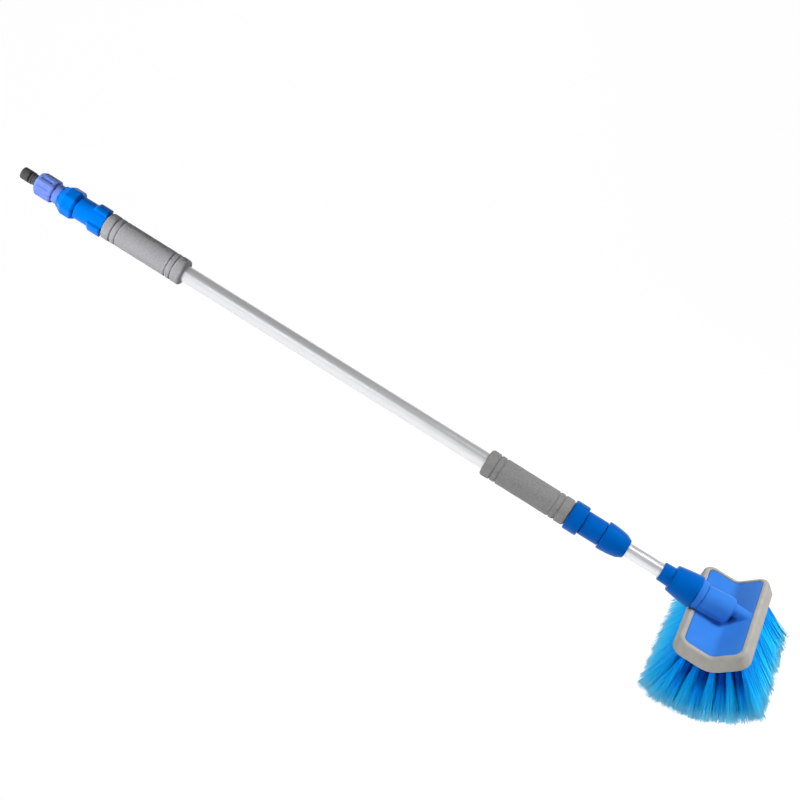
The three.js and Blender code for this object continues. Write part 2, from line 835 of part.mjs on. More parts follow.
// The strands of one plate stand in staggered rows
function plateStrands(front, side) {
  const halfUnderside = undersideLength / 2;
  const rowSpan = halfUnderside - bristle.edgeMargin - bristlePlate.waterSlot / 2;
  const columnSpan = halfHead - plateEdge - bristle.edgeMargin;
  const rowPitch = rowSpan / bristle.rowsPerPlate;
  const columnPitch = columnSpan / (bristle.columnsPerPlate + 1 / 2);
  const strands = [];
  for (let row = 0; row < bristle.rowsPerPlate; row += 1) {
    for (let column = 0; column < bristle.columnsPerPlate; column += 1) {
      const fromSlot = bristlePlate.waterSlot / 2 + rowPitch * (row + 1 / 2);
      const distance = halfUnderside + (front ? fromSlot : -fromSlot);
      const stagger = (row + (front ? 1 : 0)) % 2 ? 1 / 2 : 0;
      const y = side * columnPitch * (column + 1 / 2 + stagger);
      const length = bristle.length - bristle.lengthSpread * unevenShare(row, column);
      strands.push(strand(distance, y, length));
    }
  }
  return strands;
}

// How much shorter a strand is than the longest, in a fixed pattern that looks uneven
function unevenShare(row, column) {
  const step = (bristle.rowsPerPlate * column + row * (bristle.lengthSteps - 1) / 2) % bristle.lengthSteps;
  return step / bristle.lengthSteps;
}

// The half of the bent plate that lies before or behind the water slot, on one side of the middle
function backingPlate(front, side) {
  const plate = bentSlab({
    back: plateBack,
    front: plateFront,
    halfWidth: halfHead - plateEdge,
    top: plateBottom + bristlePlate.thickness,
    bottom: plateBottom,
    radius: head.cornerRadius - plateEdge,
  });
  const reach = head.width;
  const keep = new THREE.BoxGeometry(reach, reach, reach);
  keep.translate((front ? 1 : -1) * (reach + bristlePlate.waterSlot) / 2, side * (reach + fit) / 2, 0);
  keep.rotateY(-bend / 2).translate(creaseX, 0, creaseZ);
  return plate.intersect(toSolid(keep));
}

// Everything under the floor plane, which trims the bristles flat where the brush stands
function underFloor() {
  const reach = 2 * creaseX;
  const block = new THREE.BoxGeometry(reach, reach, reach).translate(0, 0, -reach / 2);
  return toSolid(block.rotateY(restTilt).translate(ridgeX, 0, -ridgeDrop));
}

function bristleGroup(front, side) {
  const parts = [backingPlate(front, side), ...plateStrands(front, side)];
  return toGeometry(wasm.Manifold.union(parts).subtract(underFloor()));
}

// Finish of each piece

const finishes = {
  black: { color: 0x2b2b2e, roughness: 0.4, metalness: 0 },
  rubber: { color: 0x1c1c1e, roughness: 0.8, metalness: 0 },
  violet: { color: 0x6a74e6, roughness: 0.42, metalness: 0 },
  blue: { color: 0x0a7cf0, roughness: 0.38, metalness: 0 },
  lockBlue: { color: 0x0a66cc, roughness: 0.38, metalness: 0 },
  blockBlue: { color: 0x3c82ea, roughness: 0.45, metalness: 0 },
  aluminium: { color: 0xc9cacc, roughness: 0.32, metalness: 1 },
  foamLight: { color: 0xa4a4a6, roughness: 0.95, metalness: 0 },
  foamDark: { color: 0x8c8c8b, roughness: 0.95, metalness: 0 },
  nylon: { color: 0xe6e4dc, roughness: 0.55, metalness: 0 },
  bumper: { color: 0xb8b0a8, roughness: 0.7, metalness: 0 },
  bristle: { color: 0x1296ee, roughness: 0.5, metalness: 0 },
};

const pieces = [
  ['hose_plug', hosePlug(), 'black'],
  ['plug_o_ring', seatedRing(plug.grooveFromTip, plug.tipDiameter, plugRing.section), 'rubber'],
  ['inlet_washer', inletSeal(), 'rubber'],
  ['inlet_adaptor', inletAdaptor(), 'violet'],
  ['adaptor_o_ring', seatedRing(adaptorRingX, adaptor.spigotDiameter, adaptorRing.section), 'rubber'],
  ['union_nut', unionNutShape(), 'blue'],
  ['end_fitting', endFittingShape(), 'blue'],
  ['tube_washer', tubeSeal(), 'rubber'],
  ['outer_tube', tube(tubeStart, outerTube.length, outerTube.diameter, outerTube.wall), 'aluminium'],
  ['rear_grip', foamGrip(rearGripStart), 'foamLight'],
  ['front_grip', foamGrip(frontGripStart), 'foamDark'],
  ['lock_collar', lockCollarShape(), 'lockBlue'],
  ['lock_body', lockBodyShape(), 'lockBlue'],
  ['lock_seal', lockSealShape(), 'rubber'],
  ['lock_collet', lockColletShape(), 'nylon'],
  ['lock_thrust_ring', lockThrustRing(), 'nylon'],
  ['lock_nut', lockNutShape(), 'lockBlue'],
  ['inner_tube', tube(innerTubeStart, innerTubeLength, innerTube.diameter, innerTube.wall), 'aluminium'],
  ['guide_bush', guideBushShape(), 'nylon'],
  ['guide_piston', guidePiston(), 'nylon'],
  ...pistonGrooves.map((x, i) => [`piston_o_ring_${i + 1}`, pistonRing(x), 'rubber']),
  ['head_connector', headConnector(), 'lockBlue'],
  ['connector_o_ring', seatedRing(connectorRingX, connector.spigotDiameter, connectorRing.section), 'rubber'],
  ['coupling_ring', couplingRingShape(), 'violet'],
  ['brush_block', brushBlock(), 'blockBlue'],
  ['bumper_rim', bumperRim(), 'bumper'],
  ['bristles_back_left', bristleGroup(false, 1), 'bristle'],
  ['bristles_back_right', bristleGroup(false, -1), 'bristle'],
  ['bristles_front_left', bristleGroup(true, 1), 'bristle'],
  ['bristles_front_right', bristleGroup(true, -1), 'bristle'],
];

const pole = new THREE.Group();
for (const [name, geometry, finish] of pieces) {
  const mesh = new THREE.Mesh(geometry, new THREE.MeshStandardMaterial(finishes[finish]));
  mesh.name = name;
  pole.add(mesh);
}
pole.rotation.y = -restTilt;

// The origin is on the floor, under the middle of the whole part
const part = new THREE.Group();
part.add(pole);
const box = new THREE.Box3().setFromObject(part, true);
const middle = box.getCenter(new THREE.Vector3());
pole.position.set(-middle.x, -middle.y, -box.min.z);

export default part;
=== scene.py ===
# The looks of the telescopic wash brush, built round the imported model.
# Shapes are drawn in millimetres in the pole's own frame: X along the pole from the hose plug to the
# brush, Y along the long way of the head, Z up. One matrix takes them to metres where the part stands.

import json
import math

import bmesh
import bpy
import numpy as np
from mathutils import Matrix, Vector, noise


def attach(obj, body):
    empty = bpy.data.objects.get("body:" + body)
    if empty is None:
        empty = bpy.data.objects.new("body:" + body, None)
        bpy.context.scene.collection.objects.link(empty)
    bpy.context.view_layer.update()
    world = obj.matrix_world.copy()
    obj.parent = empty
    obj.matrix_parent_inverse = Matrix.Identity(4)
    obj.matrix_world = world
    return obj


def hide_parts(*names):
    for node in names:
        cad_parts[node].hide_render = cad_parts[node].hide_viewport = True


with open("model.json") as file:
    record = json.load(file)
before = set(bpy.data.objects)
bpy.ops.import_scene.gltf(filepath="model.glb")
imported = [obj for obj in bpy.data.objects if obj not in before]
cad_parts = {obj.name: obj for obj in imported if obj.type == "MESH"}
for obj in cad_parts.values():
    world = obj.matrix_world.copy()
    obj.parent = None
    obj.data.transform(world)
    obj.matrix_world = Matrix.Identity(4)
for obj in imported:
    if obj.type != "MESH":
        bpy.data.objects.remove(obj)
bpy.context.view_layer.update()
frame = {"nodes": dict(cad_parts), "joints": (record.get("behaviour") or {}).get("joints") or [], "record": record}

MM = 0.001
TURN_STEPS = 128
RING_STEPS = 12
FILLET_STEPS = 5
HALF = 0.5
NEAR = 0.0001 # points closer together than this become one
SHARP, SHARP_MOULDED, SHARP_RING = 38, 50, 60 # degrees from which an edge stays sharp

# Sizes in millimetres, as in the solids

FIT = 0.3
LOOSE_FIT = 0.6
TUBE_SEAT = 25.6
INNER_TUBE_SEAT = 21.6
BEND = math.radians(46.8)
BEND_RADIUS = 14
BEND_INSET = BEND_RADIUS * math.tan(BEND / 2)
HEAD = {"back": 42, "front": 39.8, "half_width": 92, "drop": 12, "depth": 23, "wall": 3.5, "corner": 9}
PLATE_BOTTOM = -22
PLATE_EDGE = HEAD["wall"] + FIT
SHANK = 7.9
ADAPTOR_SPIGOT = 9.5
HEAD_SPIGOT = 11
UNION_LIP = 6
SIDES = 8
OVERCUT = 5 # how far a cutting shape reaches past what it cuts
BRUSH_SEED = 7


# The pole's frame

def pole_matrix():
    """Takes millimetres along, across and above the pole to metres in the row's frame"""
    head_turn = next(joint for joint in frame["joints"] if joint["name"] == "head_turn")
    along = Vector(head_turn["axis"]).normalized()
    across = Vector((0, 1, 0))
    above = along.cross(across)
    turn = Matrix((along, across, above)).transposed().to_4x4()
    lowest = min(along.dot(v.co) for v in frame["nodes"]["hose_plug"].data.vertices)
    hinge = Vector(head_turn["pos_m"])
    start = hinge + along * (lowest - along.dot(hinge))
    return Matrix.Translation(start) @ turn @ Matrix.Scale(MM, 4)


TO_ROW = pole_matrix()
TO_POLE = TO_ROW.inverted()


def along_pole(node):
    """Where a node starts and ends along the pole, and its largest radius"""
    places = [TO_POLE @ v.co for v in frame["nodes"][node].data.vertices]
    start = min(place.x for place in places)
    end = max(place.x for place in places)
    return start, end, max(math.hypot(place.y, place.z) for place in places)


# Materials

def linear(red, green, blue):
    """A display colour as the shader's linear colour"""
    def channel(value):
        share = value / 255
        return share / 12.92 if share <= 0.04045 else ((share + 0.055) / 1.055) ** 2.4
    return (channel(red), channel(green), channel(blue), 1)


WHITE = (1, 1, 1, 1)
BLUE_GLEAM = linear(20, 150, 255) # blue plastics and fibres throw back a blue light
LOW, HIGH = 0.3, 0.7 # where most values of a noise texture lie
COLOUR_A, COLOUR_B, MIXED_COLOUR = 6, 7, 2 # a mix node's sockets for colours


def set_inputs(node, values):
    for name, value in values.items():
        node.inputs[name].default_value = value


def start_material(name, roughness, metallic=0.0):
    material = bpy.data.materials.new(name)
    material.use_nodes = True
    shader = material.node_tree.nodes["Principled BSDF"]
    set_inputs(shader, {"Roughness": roughness, "Metallic": metallic})
    return material, material.node_tree.nodes, material.node_tree.links, shader


def place_on_piece(nodes, links, stretch=None):
    """Coordinates in metres that stay on the piece, turned to run along the pole"""
    coordinates = nodes.new("ShaderNodeTexCoord")
    turn = nodes.new("ShaderNodeMapping")
    turn.inputs["Rotation"].default_value = (0, math.atan2(TO_ROW[2][0], TO_ROW[0][0]), 0)
    links.new(coordinates.outputs["Object"], turn.inputs["Vector"])
    if not stretch:
        return turn.outputs["Vector"]
    scale = nodes.new("ShaderNodeMapping")
    scale.inputs["Scale"].default_value = stretch
    links.new(turn.outputs["Vector"], scale.inputs["Vector"])
    return scale.outputs["Vector"]


def add_noise(nodes, links, vector, scale, detail=3.0, roughness=0.5):
    texture = nodes.new("ShaderNodeTexNoise")
    set_inputs(texture, {"Scale": scale, "Detail": detail, "Roughness": roughness})
    links.new(vector, texture.inputs["Vector"])
    return texture.outputs["Fac"]


def add_ramp(nodes, links, value, stops):
    ramp = nodes.new("ShaderNodeValToRGB")
    elements = ramp.color_ramp.elements
    while len(elements) < len(stops):
        elements.new(HALF)
    for element, (position, colour) in zip(elements, stops):
        element.position = position
        element.color = colour
    links.new(value, ramp.inputs["Fac"])
    return ramp.outputs["Color"]


def add_bump(nodes, links, shader, height, strength, depth):
    bump = nodes.new("ShaderNodeBump")
    set_inputs(bump, {"Strength": strength, "Distance": depth})
    links.new(height, bump.inputs["Height"])
    links.new(bump.outputs["Normal"], shader.inputs["Normal"])


def mix_colours(nodes, links, share, first, second):
    """The first colour where the share is 0 and the second where it is 1"""
    mix = nodes.new("ShaderNodeMix")
    mix.data_type = "RGBA"
    links.new(share, mix.inputs["Factor"])
    links.new(first, mix.inputs[COLOUR_A])
    links.new(second, mix.inputs[COLOUR_B])
    return mix.outputs[MIXED_COLOUR]


def spread(nodes, links, value, low, high):
    """A texture's value as a number between low and high"""
    ranged = nodes.new("ShaderNodeMapRange")
    set_inputs(ranged, {"From Min": LOW, "From Max": HIGH, "To Min": low, "To Max": high})
    links.new(value, ranged.inputs["Value"])
    return ranged.outputs["Result"]


def shaded(colour, share):
    """A colour with its light changed by a share"""
    return tuple(channel * share for channel in colour[:3]) + (1,)


def moulded_plastic(name, colour, roughness, gloss=0.25, gleam=WHITE):
    """Plastic with faint flow marks in its colour and a fine spark-eroded grain"""
    material, nodes, links, shader = start_material(name, roughness)
    set_inputs(shader, {"Specular IOR Level": gloss, "Specular Tint": gleam})
    vector = place_on_piece(nodes, links)
    flow = add_noise(nodes, links, vector, scale=34, detail=2)
    colours = [(LOW, shaded(colour, 0.93)), (HIGH, shaded(colour, 1.04))]
    links.new(add_ramp(nodes, links, flow, colours), shader.inputs["Base Color"])
    uneven = spread(nodes, links, flow, roughness - 0.04, roughness + 0.05)
    links.new(uneven, shader.inputs["Roughness"])
    grain = add_noise(nodes, links, vector, scale=1900, detail=2)
    add_bump(nodes, links, shader, grain, strength=0.12, depth=0.0002)
    return material


def seal_rubber():
    """Black rubber with a faint grey bloom"""
    material, nodes, links, shader = start_material("seal_rubber_look", roughness=0.6)
    vector = place_on_piece(nodes, links)
    bloom = add_noise(nodes, links, vector, scale=260)
    colours = [(0.35, linear(22, 22, 23)), (0.75, linear(40, 40, 42))]
    links.new(add_ramp(nodes, links, bloom, colours), shader.inputs["Base Color"])
    grain = add_noise(nodes, links, vector, scale=1500)
    add_bump(nodes, links, shader, grain, strength=0.15, depth=0.0002)
    return material


def bumper_rubber():
    """Soft grey rubber, slightly mottled, with a matt moulded skin"""
    material, nodes, links, shader = start_material("bumper_rubber_look", roughness=0.62)
    set_inputs(shader, {"Specular IOR Level": 0.35, "Sheen Weight": 0.08})
    vector = place_on_piece(nodes, links)
    mottle = add_noise(nodes, links, vector, scale=60, detail=5, roughness=0.6)
    colours = [(LOW, linear(147, 145, 139)), (HIGH, linear(158, 156, 150))]
    links.new(add_ramp(nodes, links, mottle, colours), shader.inputs["Base Color"])
    grain = add_noise(nodes, links, vector, scale=900, detail=4)
    add_bump(nodes, links, shader, grain, strength=0.25, depth=0.0003)
    return material


def foam(name, dark, light):
    """Closed-cell foam: small pores with painted shade down inside them, and a soft sheen over the skin"""
    material, nodes, links, shader = start_material(name, roughness=0.92)
    set_inputs(shader, {"Specular IOR Level": 0.2, "Sheen Weight": 0.15})
    vector = place_on_piece(nodes, links)
    cells = nodes.new("ShaderNodeTexVoronoi")
    cells.inputs["Scale"].default_value = 950
    links.new(vector, cells.inputs["Vector"])
    cloud = add_noise(nodes, links, vector, scale=420, detail=4, roughness=0.6)
    cell_share = -0.4
    skin_and_pore_shade = nodes.new("ShaderNodeMath")
    skin_and_pore_shade.operation = "MULTIPLY_ADD"
    links.new(cells.outputs["Distance"], skin_and_pore_shade.inputs[0])
    skin_and_pore_shade.inputs[1].default_value = cell_share
    links.new(cloud, skin_and_pore_shade.inputs[2])
    # the colour follows the skin's height: painted shade down in the pores, over an uneven tone from the cloud
    colours = [(0, dark), (0.45, light)]
    links.new(add_ramp(nodes, links, skin_and_pore_shade.outputs["Value"], colours), shader.inputs["Base Color"])
    add_bump(nodes, links, shader, skin_and_pore_shade.outputs["Value"], strength=0.5, depth=0.0005)
    return material


def drawn_aluminium():
    """Satin tube with fine draw lines along it"""
    material, nodes, links, shader = start_material("tube_aluminium_look", roughness=0.3, metallic=0.85)
    stretched = place_on_piece(nodes, links, stretch=(0.01, 1, 1))
    lines = add_noise(nodes, links, stretched, scale=2600, detail=3, roughness=0.7)
    cloud = add_noise(nodes, links, place_on_piece(nodes, links), scale=25)
    colours = [(LOW, linear(230, 231, 234)), (HIGH, linear(241, 242, 244))]
    links.new(add_ramp(nodes, links, lines, colours), shader.inputs["Base Color"])
    links.new(spread(nodes, links, cloud, low=0.34, high=0.4), shader.inputs["Roughness"])
    add_bump(nodes, links, shader, lines, strength=0.03, depth=0.0001)
    return material


def attribute(nodes, name):
    """A number that the mesh carries at each point"""
    node = nodes.new("ShaderNodeAttribute")
    node.attribute_name = name
    return node.outputs["Fac"]


def bristle_fibre():
    """Painted shade at the root, bright along the fibre, and pale where the ends are split"""
    material, nodes, links, shader = start_material("bristle_fibre_look", roughness=0.42)
    set_inputs(shader, {"Specular IOR Level": 0.2, "Specular Tint": BLUE_GLEAM})
    along = attribute(nodes, "along")
    shade_and_tone = attribute(nodes, "shade_and_tone")
    # both ramps darken towards the root: painted shade where the fibres crowd together
    bright = add_ramp(nodes, links, along, [
        (0, linear(0, 105, 235)),
        (0.2, linear(4, 158, 255)),
        (0.56, linear(18, 190, 255)),
        (0.8, linear(58, 206, 255)),
        (1, linear(138, 224, 255)),
    ])
    # a shaded copy of the colours: painted shade for the tufts that lie further in
    painted_shade_colours = add_ramp(nodes, links, along, [
        (0, linear(0, 36, 124)),
        (0.34, linear(0, 58, 170)),
        (0.56, linear(0, 150, 250)),
        (0.8, linear(36, 196, 255)),
        (1, linear(138, 224, 255)),
    ])
    links.new(mix_colours(nodes, links, shade_and_tone, bright, painted_shade_colours), shader.inputs["Base Color"])
    uneven = add_noise(nodes, links, place_on_piece(nodes, links), scale=900)
    links.new(spread(nodes, links, uneven, low=0.36, high=0.5), shader.inputs["Roughness"])
    return material


def plastics():
    """The moulded plastics by slot: colour and roughness, and for the blue ones gloss and gleam"""
    glossy, satin = 0.3, 0.12
    finishes = {
        "black_plastic": (linear(80, 80, 83), 0.4),
        "violet_plastic": (linear(122, 148, 234), 0.46, satin, BLUE_GLEAM),
        "bright_blue_plastic": (linear(0, 124, 240), 0.38, glossy, BLUE_GLEAM),
        "lock_blue_plastic": (linear(0, 84, 167), 0.36, glossy, BLUE_GLEAM),
        "block_blue_plastic": (linear(50, 114, 197), 0.46, satin, BLUE_GLEAM),
        "white_nylon": (linear(231, 229, 222), 0.5),
    }
    return {slot: moulded_plastic(slot + "_look", *finish) for slot, finish in finishes.items()}


LOOKS = {
    **plastics(),
    "seal_rubber": seal_rubber(),
    "tube_aluminium": drawn_aluminium(),
    "light_foam": foam("light_foam_look", linear(147, 147, 150), linear(171, 171, 174)),
    "dark_foam": foam("dark_foam_look", linear(112, 112, 112), linear(134, 134, 133)),
    "bumper_rubber": bumper_rubber(),
    "bristle_fibre": bristle_fibre(),
}


# Pieces

def new_object(name, data):
    thing = bpy.data.objects.new(name, data)
    bpy.context.scene.collection.objects.link(thing)
    return thing


def as_mesh(name, shape):
    """Turns a bmesh into a mesh and frees it"""
    data = bpy.data.meshes.new(name)
    shape.to_mesh(data)
    shape.free()
    return data


def add_piece(name, data, body, slot, stands_for=()):
    """A new piece that moves with a body and has the finish of one of the record's slots"""
    piece = new_object(name, data)
    data.materials.append(LOOKS[slot])
    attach(piece, body)
    if stands_for:
        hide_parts(*stands_for)
    return piece


def finished_mesh(name, shape, sharp):
    """A bmesh in the pole's frame as a smooth-shaded mesh where the part stands"""
    shape.transform(TO_ROW)
    data = as_mesh(name, shape)
    data.shade_smooth()
    data.set_sharp_from_angle(angle=math.radians(sharp))
    return data


def add_turned(node, outline, body, slot, change=None, longest=None, sharp=SHARP):
    """A turned piece in place of a node, from a closed outline of (x, radius, rounding) corners"""
    points = softened(outline)
    if longest:
        points = subdivided(points, longest)
    name = node + "_turned"
    add_piece(name, finished_mesh(name, turned(points, change), sharp), body, slot, [node])


def add_moulded(node, shape, body, slot):
    """A soft-edged piece in place of a node"""
    name = node + "_moulded"
    return add_piece(name, finished_mesh(name, shape, SHARP_MOULDED), body, slot, [node])


def softened(outline):
    """A closed outline of (x, radius, rounding) corners, each drawn as a short curve"""
    points = []
    for i, (x, radius, rounding) in enumerate(outline):
        here = Vector((x, radius))
        before = Vector(outline[i - 1][:2]) - here
        after = Vector(outline[(i + 1) % len(outline)][:2]) - here
        reach = min(rounding, before.length * HALF, after.length * HALF)
        if not reach:
            points.append(here)
            continue
        first = here + before.normalized() * reach
        last = here + after.normalized() * reach
        for step in range(FILLET_STEPS + 1):
            share = step / FILLET_STEPS
            points.append(first.lerp(here, share).lerp(here.lerp(last, share), share))
    return points


def subdivided(points, longest):
    """A closed outline with points added so that no step is longer than a length"""
    result = []
    for i, point in enumerate(points):
        other = points[(i + 1) % len(points)]
        parts = max(1, math.ceil((other - point).length / longest))
        result += [point.lerp(other, part / parts) for part in range(parts)]
    return result


def curved(start, end, radius_at):
    """Corners between two places along the pole, with a radius for each share of the way"""
    steps = 14
    shares = [step / steps for step in range(1, steps)]
    return [(start + (end - start) * share, radius_at(share), 0) for share in shares]


def round_angles(count):
    """Even steps of a whole turn"""
    return [2 * math.pi * step / count for step in range(count)]


def turned(points, change=None):
    """A closed outline turned round the pole's axis. change(x, radius, angle) gives the radius there."""
    shape = bmesh.new()
    rings = []
    for x, radius in points:
        if radius == 0:
            rings.append([shape.verts.new((x, 0, 0))] * TURN_STEPS)
            continue
        ring = []
        for angle in round_angles(TURN_STEPS):
            reach = change(x, radius, angle) if change else radius
            ring.append(shape.verts.new((x, reach * math.cos(angle), reach * math.sin(angle))))
        rings.append(ring)
    for i, ring in enumerate(rings):
        other = rings[(i + 1) % len(rings)]
        for j in range(TURN_STEPS):
            k = (j + 1) % TURN_STEPS
            corners = list(dict.fromkeys((ring[j], ring[k], other[k], other[j])))
            if len(corners) > 2:
                shape.faces.new(corners)
    bmesh.ops.remove_doubles(shape, verts=shape.verts, dist=NEAR)
    bmesh.ops.recalc_face_normals(shape, faces=shape.faces)
    return shape


def smooth_step(value, low, high):
    """Rises smoothly from 0 at low to 1 at high"""
    share = min(1, max(0, (value - low) / (high - low)))
    return share * share * (3 - 2 * share)


def window(value, low, high, edge):
    """1 between low and high, falling to 0 over the edge on either side"""
    return smooth_step(value, low, low + edge) * (1 - smooth_step(value, high - edge, high))


def faceted(sides, above, corner=0.012):
    """Turns the rings wider than a radius into polygons with slightly rounded corners"""
    pitch = 2 * math.pi / sides
    round_share = 1 - corner

    def change(x, radius, angle):
        if radius <= above:
            return radius
        from_flat = (angle % pitch) - pitch / 2
        side = math.cos(pitch / 2) / math.cos(from_flat)
        gap = side - round_share
        if gap < -corner:
            return radius * side
        if gap > corner:
            return radius * round_share
        return radius * (side - (gap + corner) ** 2 / (4 * corner))
    return change


def ring_groove(x, radius, section):
    """The corners of a square groove in a turned surface"""
    half = section / 2 + FIT
    floor = radius - section - FIT
    edge = 0.3
    return [(x - half, radius, edge), (x - half, floor, 0), (x + half, floor, 0), (x + half, radius, edge)]


# Hose inlet

def hose_plug():
    """A rounded tip with a ring in its groove, a neck, and a shank inside the adaptor"""
    tip, neck, shank, bore = 9.3, 8.4, SHANK, 4.5
    ring_place, ring_section = 15, 2
    neck_start, neck_end, end = 20, 28 - FIT, 46
    add_turned("hose_plug", [
        (0, bore, 0.8), (0, tip, 3), *ring_groove(ring_place, tip, ring_section),
        (neck_start - (tip - neck), tip, 0.5), (neck_start, neck, 0.6), (neck_end, neck, 0.3),
        (neck_end, shank, 0), (end, shank, 0.4), (end, bore, 0.4),
    ], "inlet", "black_plastic")
    add_ring("plug_o_ring", ring_place, tip, ring_section, "inlet")


def add_ring(node, x, surface, section, body):
    """A rubber ring of round section, seated in its groove"""
    radius = section / 2
    middle = surface - radius
    angles = round_angles(RING_STEPS)
    circle = [(x + radius * math.cos(angle), middle + radius * math.sin(angle), 0) for angle in angles]
    add_turned(node, circle, body, "seal_rubber", sharp=SHARP_RING)


def inlet_adaptor():
    """An eight-sided nut with a finger flute along each flat, and a round neck"""
    start, end, corners = along_pole("inlet_adaptor")
    nut_end, chamfer, neck = start + 31.5, 4, 14.7
    spigot, socket, bore = ADAPTOR_SPIGOT, SHANK + FIT, 5.5
    socket_end = start + 21.1
    ring_from_end, ring_section = 9, 2.2
    neck_length = 10
    retainer_face, retainer_end, retainer = nut_end + neck_length + UNION_LIP + FIT, end - 18, 16.3
    flute_reach, flute_depth, flute_edge, flute_inner, flute_outer = 10, 0.9, 1.6, 1.5, 2.5
    polygon = faceted(SIDES, socket + 1)

    def change(x, radius, angle):
        on_nut = x < nut_end - HALF or (x < nut_end + HALF and radius > neck + HALF)
        if not on_nut:
            return radius
        reach = polygon(x, radius, angle)
        if radius < corners - HALF:
            return reach
        from_flat = (angle % (2 * math.pi / SIDES)) - math.pi / SIDES
        across = abs(corners * math.sin(from_flat))
        middle = (start + nut_end) / 2
        along_share = window(x, middle - flute_reach, middle + flute_reach, flute_edge)
        return reach - flute_depth * along_share * (1 - smooth_step(across, flute_inner, flute_outer))
    add_turned("inlet_adaptor", [
        (start, socket, 0.3), (start, corners - chamfer, 0.8), (start + chamfer, corners, 1.6),
        (nut_end - chamfer / 2, corners, 1.2), (nut_end, corners - chamfer / 2, 0.8), (nut_end, neck, 0.8),
        (retainer_face, neck, 0.3), (retainer_face, retainer, 0.3), (retainer_end, retainer, 0.3),
        (retainer_end, spigot, 0.4), *ring_groove(end - ring_from_end, spigot, ring_section),
        (end, spigot, 0.6), (end, bore, 0.4), (socket_end, bore, 0), (socket_end, socket, 0),
    ], "inlet", "violet_plastic", change, longest=1.2)


def union_nut():
    """An eight-sided nut that closes in towards the adaptor's neck"""
    start, end, corners = along_pole("union_nut")
    neck, thread, drop = 15, 17.1, 6.5
    slope_end, chamfer_start, chamfer_drop = start + 11, end - 3, 2.5
    lip_end = start + UNION_LIP
    add_turned("union_nut", [
        (start, neck, 0.4), (start, corners - drop, 0.9), (slope_end, corners, 1.2),
        (chamfer_start, corners, 1.0), (end, corners - chamfer_drop, 0.8), (end, thread, 0.3),
        (lip_end, thread, 0.2), (lip_end, neck, 0.2),
    ], "handle", "bright_blue_plastic", faceted(SIDES, thread + 0.1), longest=1.5)


def end_fitting():
    """A barrel with three raised hand pads round its end"""
    start, end, pad = along_pole("end_fitting")
    barrel, thread, face = 17.8, 16.8, end - 49
    seat = TUBE_SEAT / 2
    bore = ADAPTOR_SPIGOT + LOOSE_FIT
    tube_depth, washer = 31, 2.4
    washer_seat = end - tube_depth - washer - 2 * FIT
    pads, half_pad, side_inside, side_outside = 3, math.radians(30), 0.05, 0.02
    pad_length, pad_slope, pad_edge, edge_share = 24, 4, 1.2, 0.25

    def change(x, radius, angle):
        if radius < barrel - 0.01:
            return radius
        from_pad = abs((angle + math.pi / 2) % (2 * math.pi / pads) - math.pi / pads)
        side = 1 - smooth_step(from_pad, half_pad - side_inside, half_pad + side_outside)
        rise = smooth_step(x, end - pad_length, end - pad_length + pad_slope)
        edge = 1 - edge_share * smooth_step(x, end - pad_edge, end)
        return radius + (pad - barrel) * side * rise * edge
    add_turned("end_fitting", [
        (start, bore, 0.3), (start, thread, 0.6), (face, thread, 0.2), (face, barrel, 0.6),
        (end, barrel, 0.5), (end, seat, 0.4), (washer_seat, seat, 0), (washer_seat, bore, 0),
    ], "handle", "bright_blue_plastic", change, longest=1.2)


# Pole

def tube(node, body):
    start, end, radius = along_pole(node)
    wall, edge = 1, 0.3
    add_turned(node, [
        (start, radius - wall, edge), (start, radius, edge), (end, radius, edge), (end, radius - wall, edge),
    ], body, "tube_aluminium")


def foam_grip(node, slot):
    """A moulded foam sleeve: soft end collars and two worked rings before each of them"""
    start, end, collar = along_pole(node)
    barrel, depth, half_groove, swell = 19.5, 1.8, 1.6, 0.12
    seat = TUBE_SEAT / 2
    first, second, level, slope_end = 16, 25, 10, 18
    grooves = [start + first, start + second, end - second, end - first]
    rounding = 4.5
    unevenness, noise_radius = ((0.16, 0.09), (0.07, 0.5)), 20 # heights with their densities
    steps = 230

    def profile(x):
        """The outer radius, fuller between the grooves and drawn in over them"""
        edge = min(x - start, end - x)
        radius = barrel + (collar - barrel) * (1 - smooth_step(edge, level, slope_end))
        for groove in grooves:
            share = abs(x - groove) / half_groove
            if share < 1:
                radius -= depth * (HALF + HALF * math.cos(math.pi * share))
            elif share < 3:
                radius += swell * math.sin(math.pi * (share - 1) / 2) ** 2
        if edge < rounding:
            radius -= rounding * (1 - math.sqrt(1 - (1 - edge / rounding) ** 2))
        return radius

    def change(x, radius, angle):
        if radius < seat + 1:
            return radius
        place = Vector((x, noise_radius * math.cos(angle), noise_radius * math.sin(angle)))
        return radius + sum(height * noise.noise(place * density) for height, density in unevenness)
    shares = [HALF - HALF * math.cos(math.pi * step / steps) for step in range(steps + 1)]
    outer = [start + (end - start) * share for share in shares]
    points = [Vector((x, profile(x))) for x in outer] + [Vector((end, seat)), Vector((start, seat))]
    add_moulded(node, turned(points, change), "handle", slot)


# Twist lock

def lock_collar():
    start, end, radius = along_pole("lock_collar")
    seat, edge, rounding = TUBE_SEAT / 2, 0.3, 2.4
    add_turned("lock_collar", [
        (start, seat, edge), (start, radius, rounding), (end, radius, rounding), (end, seat, edge),
    ], "handle", "lock_blue_plastic")


def lock_body():
    """A sleeve on the outer tube, and a spigot that carries the nut's thread"""
    start, end, radius = along_pole("lock_body")
    shoulder, thread = end - 16, 16.25
    outer_seat, seat = TUBE_SEAT / 2, INNER_TUBE_SEAT / 2
    lip = along_pole("outer_tube")[1] + FIT
    add_turned("lock_body", [
        (start, outer_seat, 0.3), (start, radius, 2), (shoulder, radius, 2), (shoulder, thread, 0.4),
        (end, thread, 0.6), (end, seat, 0.3), (lip, seat, 0), (lip, outer_seat, 0),
    ], "handle", "lock_blue_plastic")


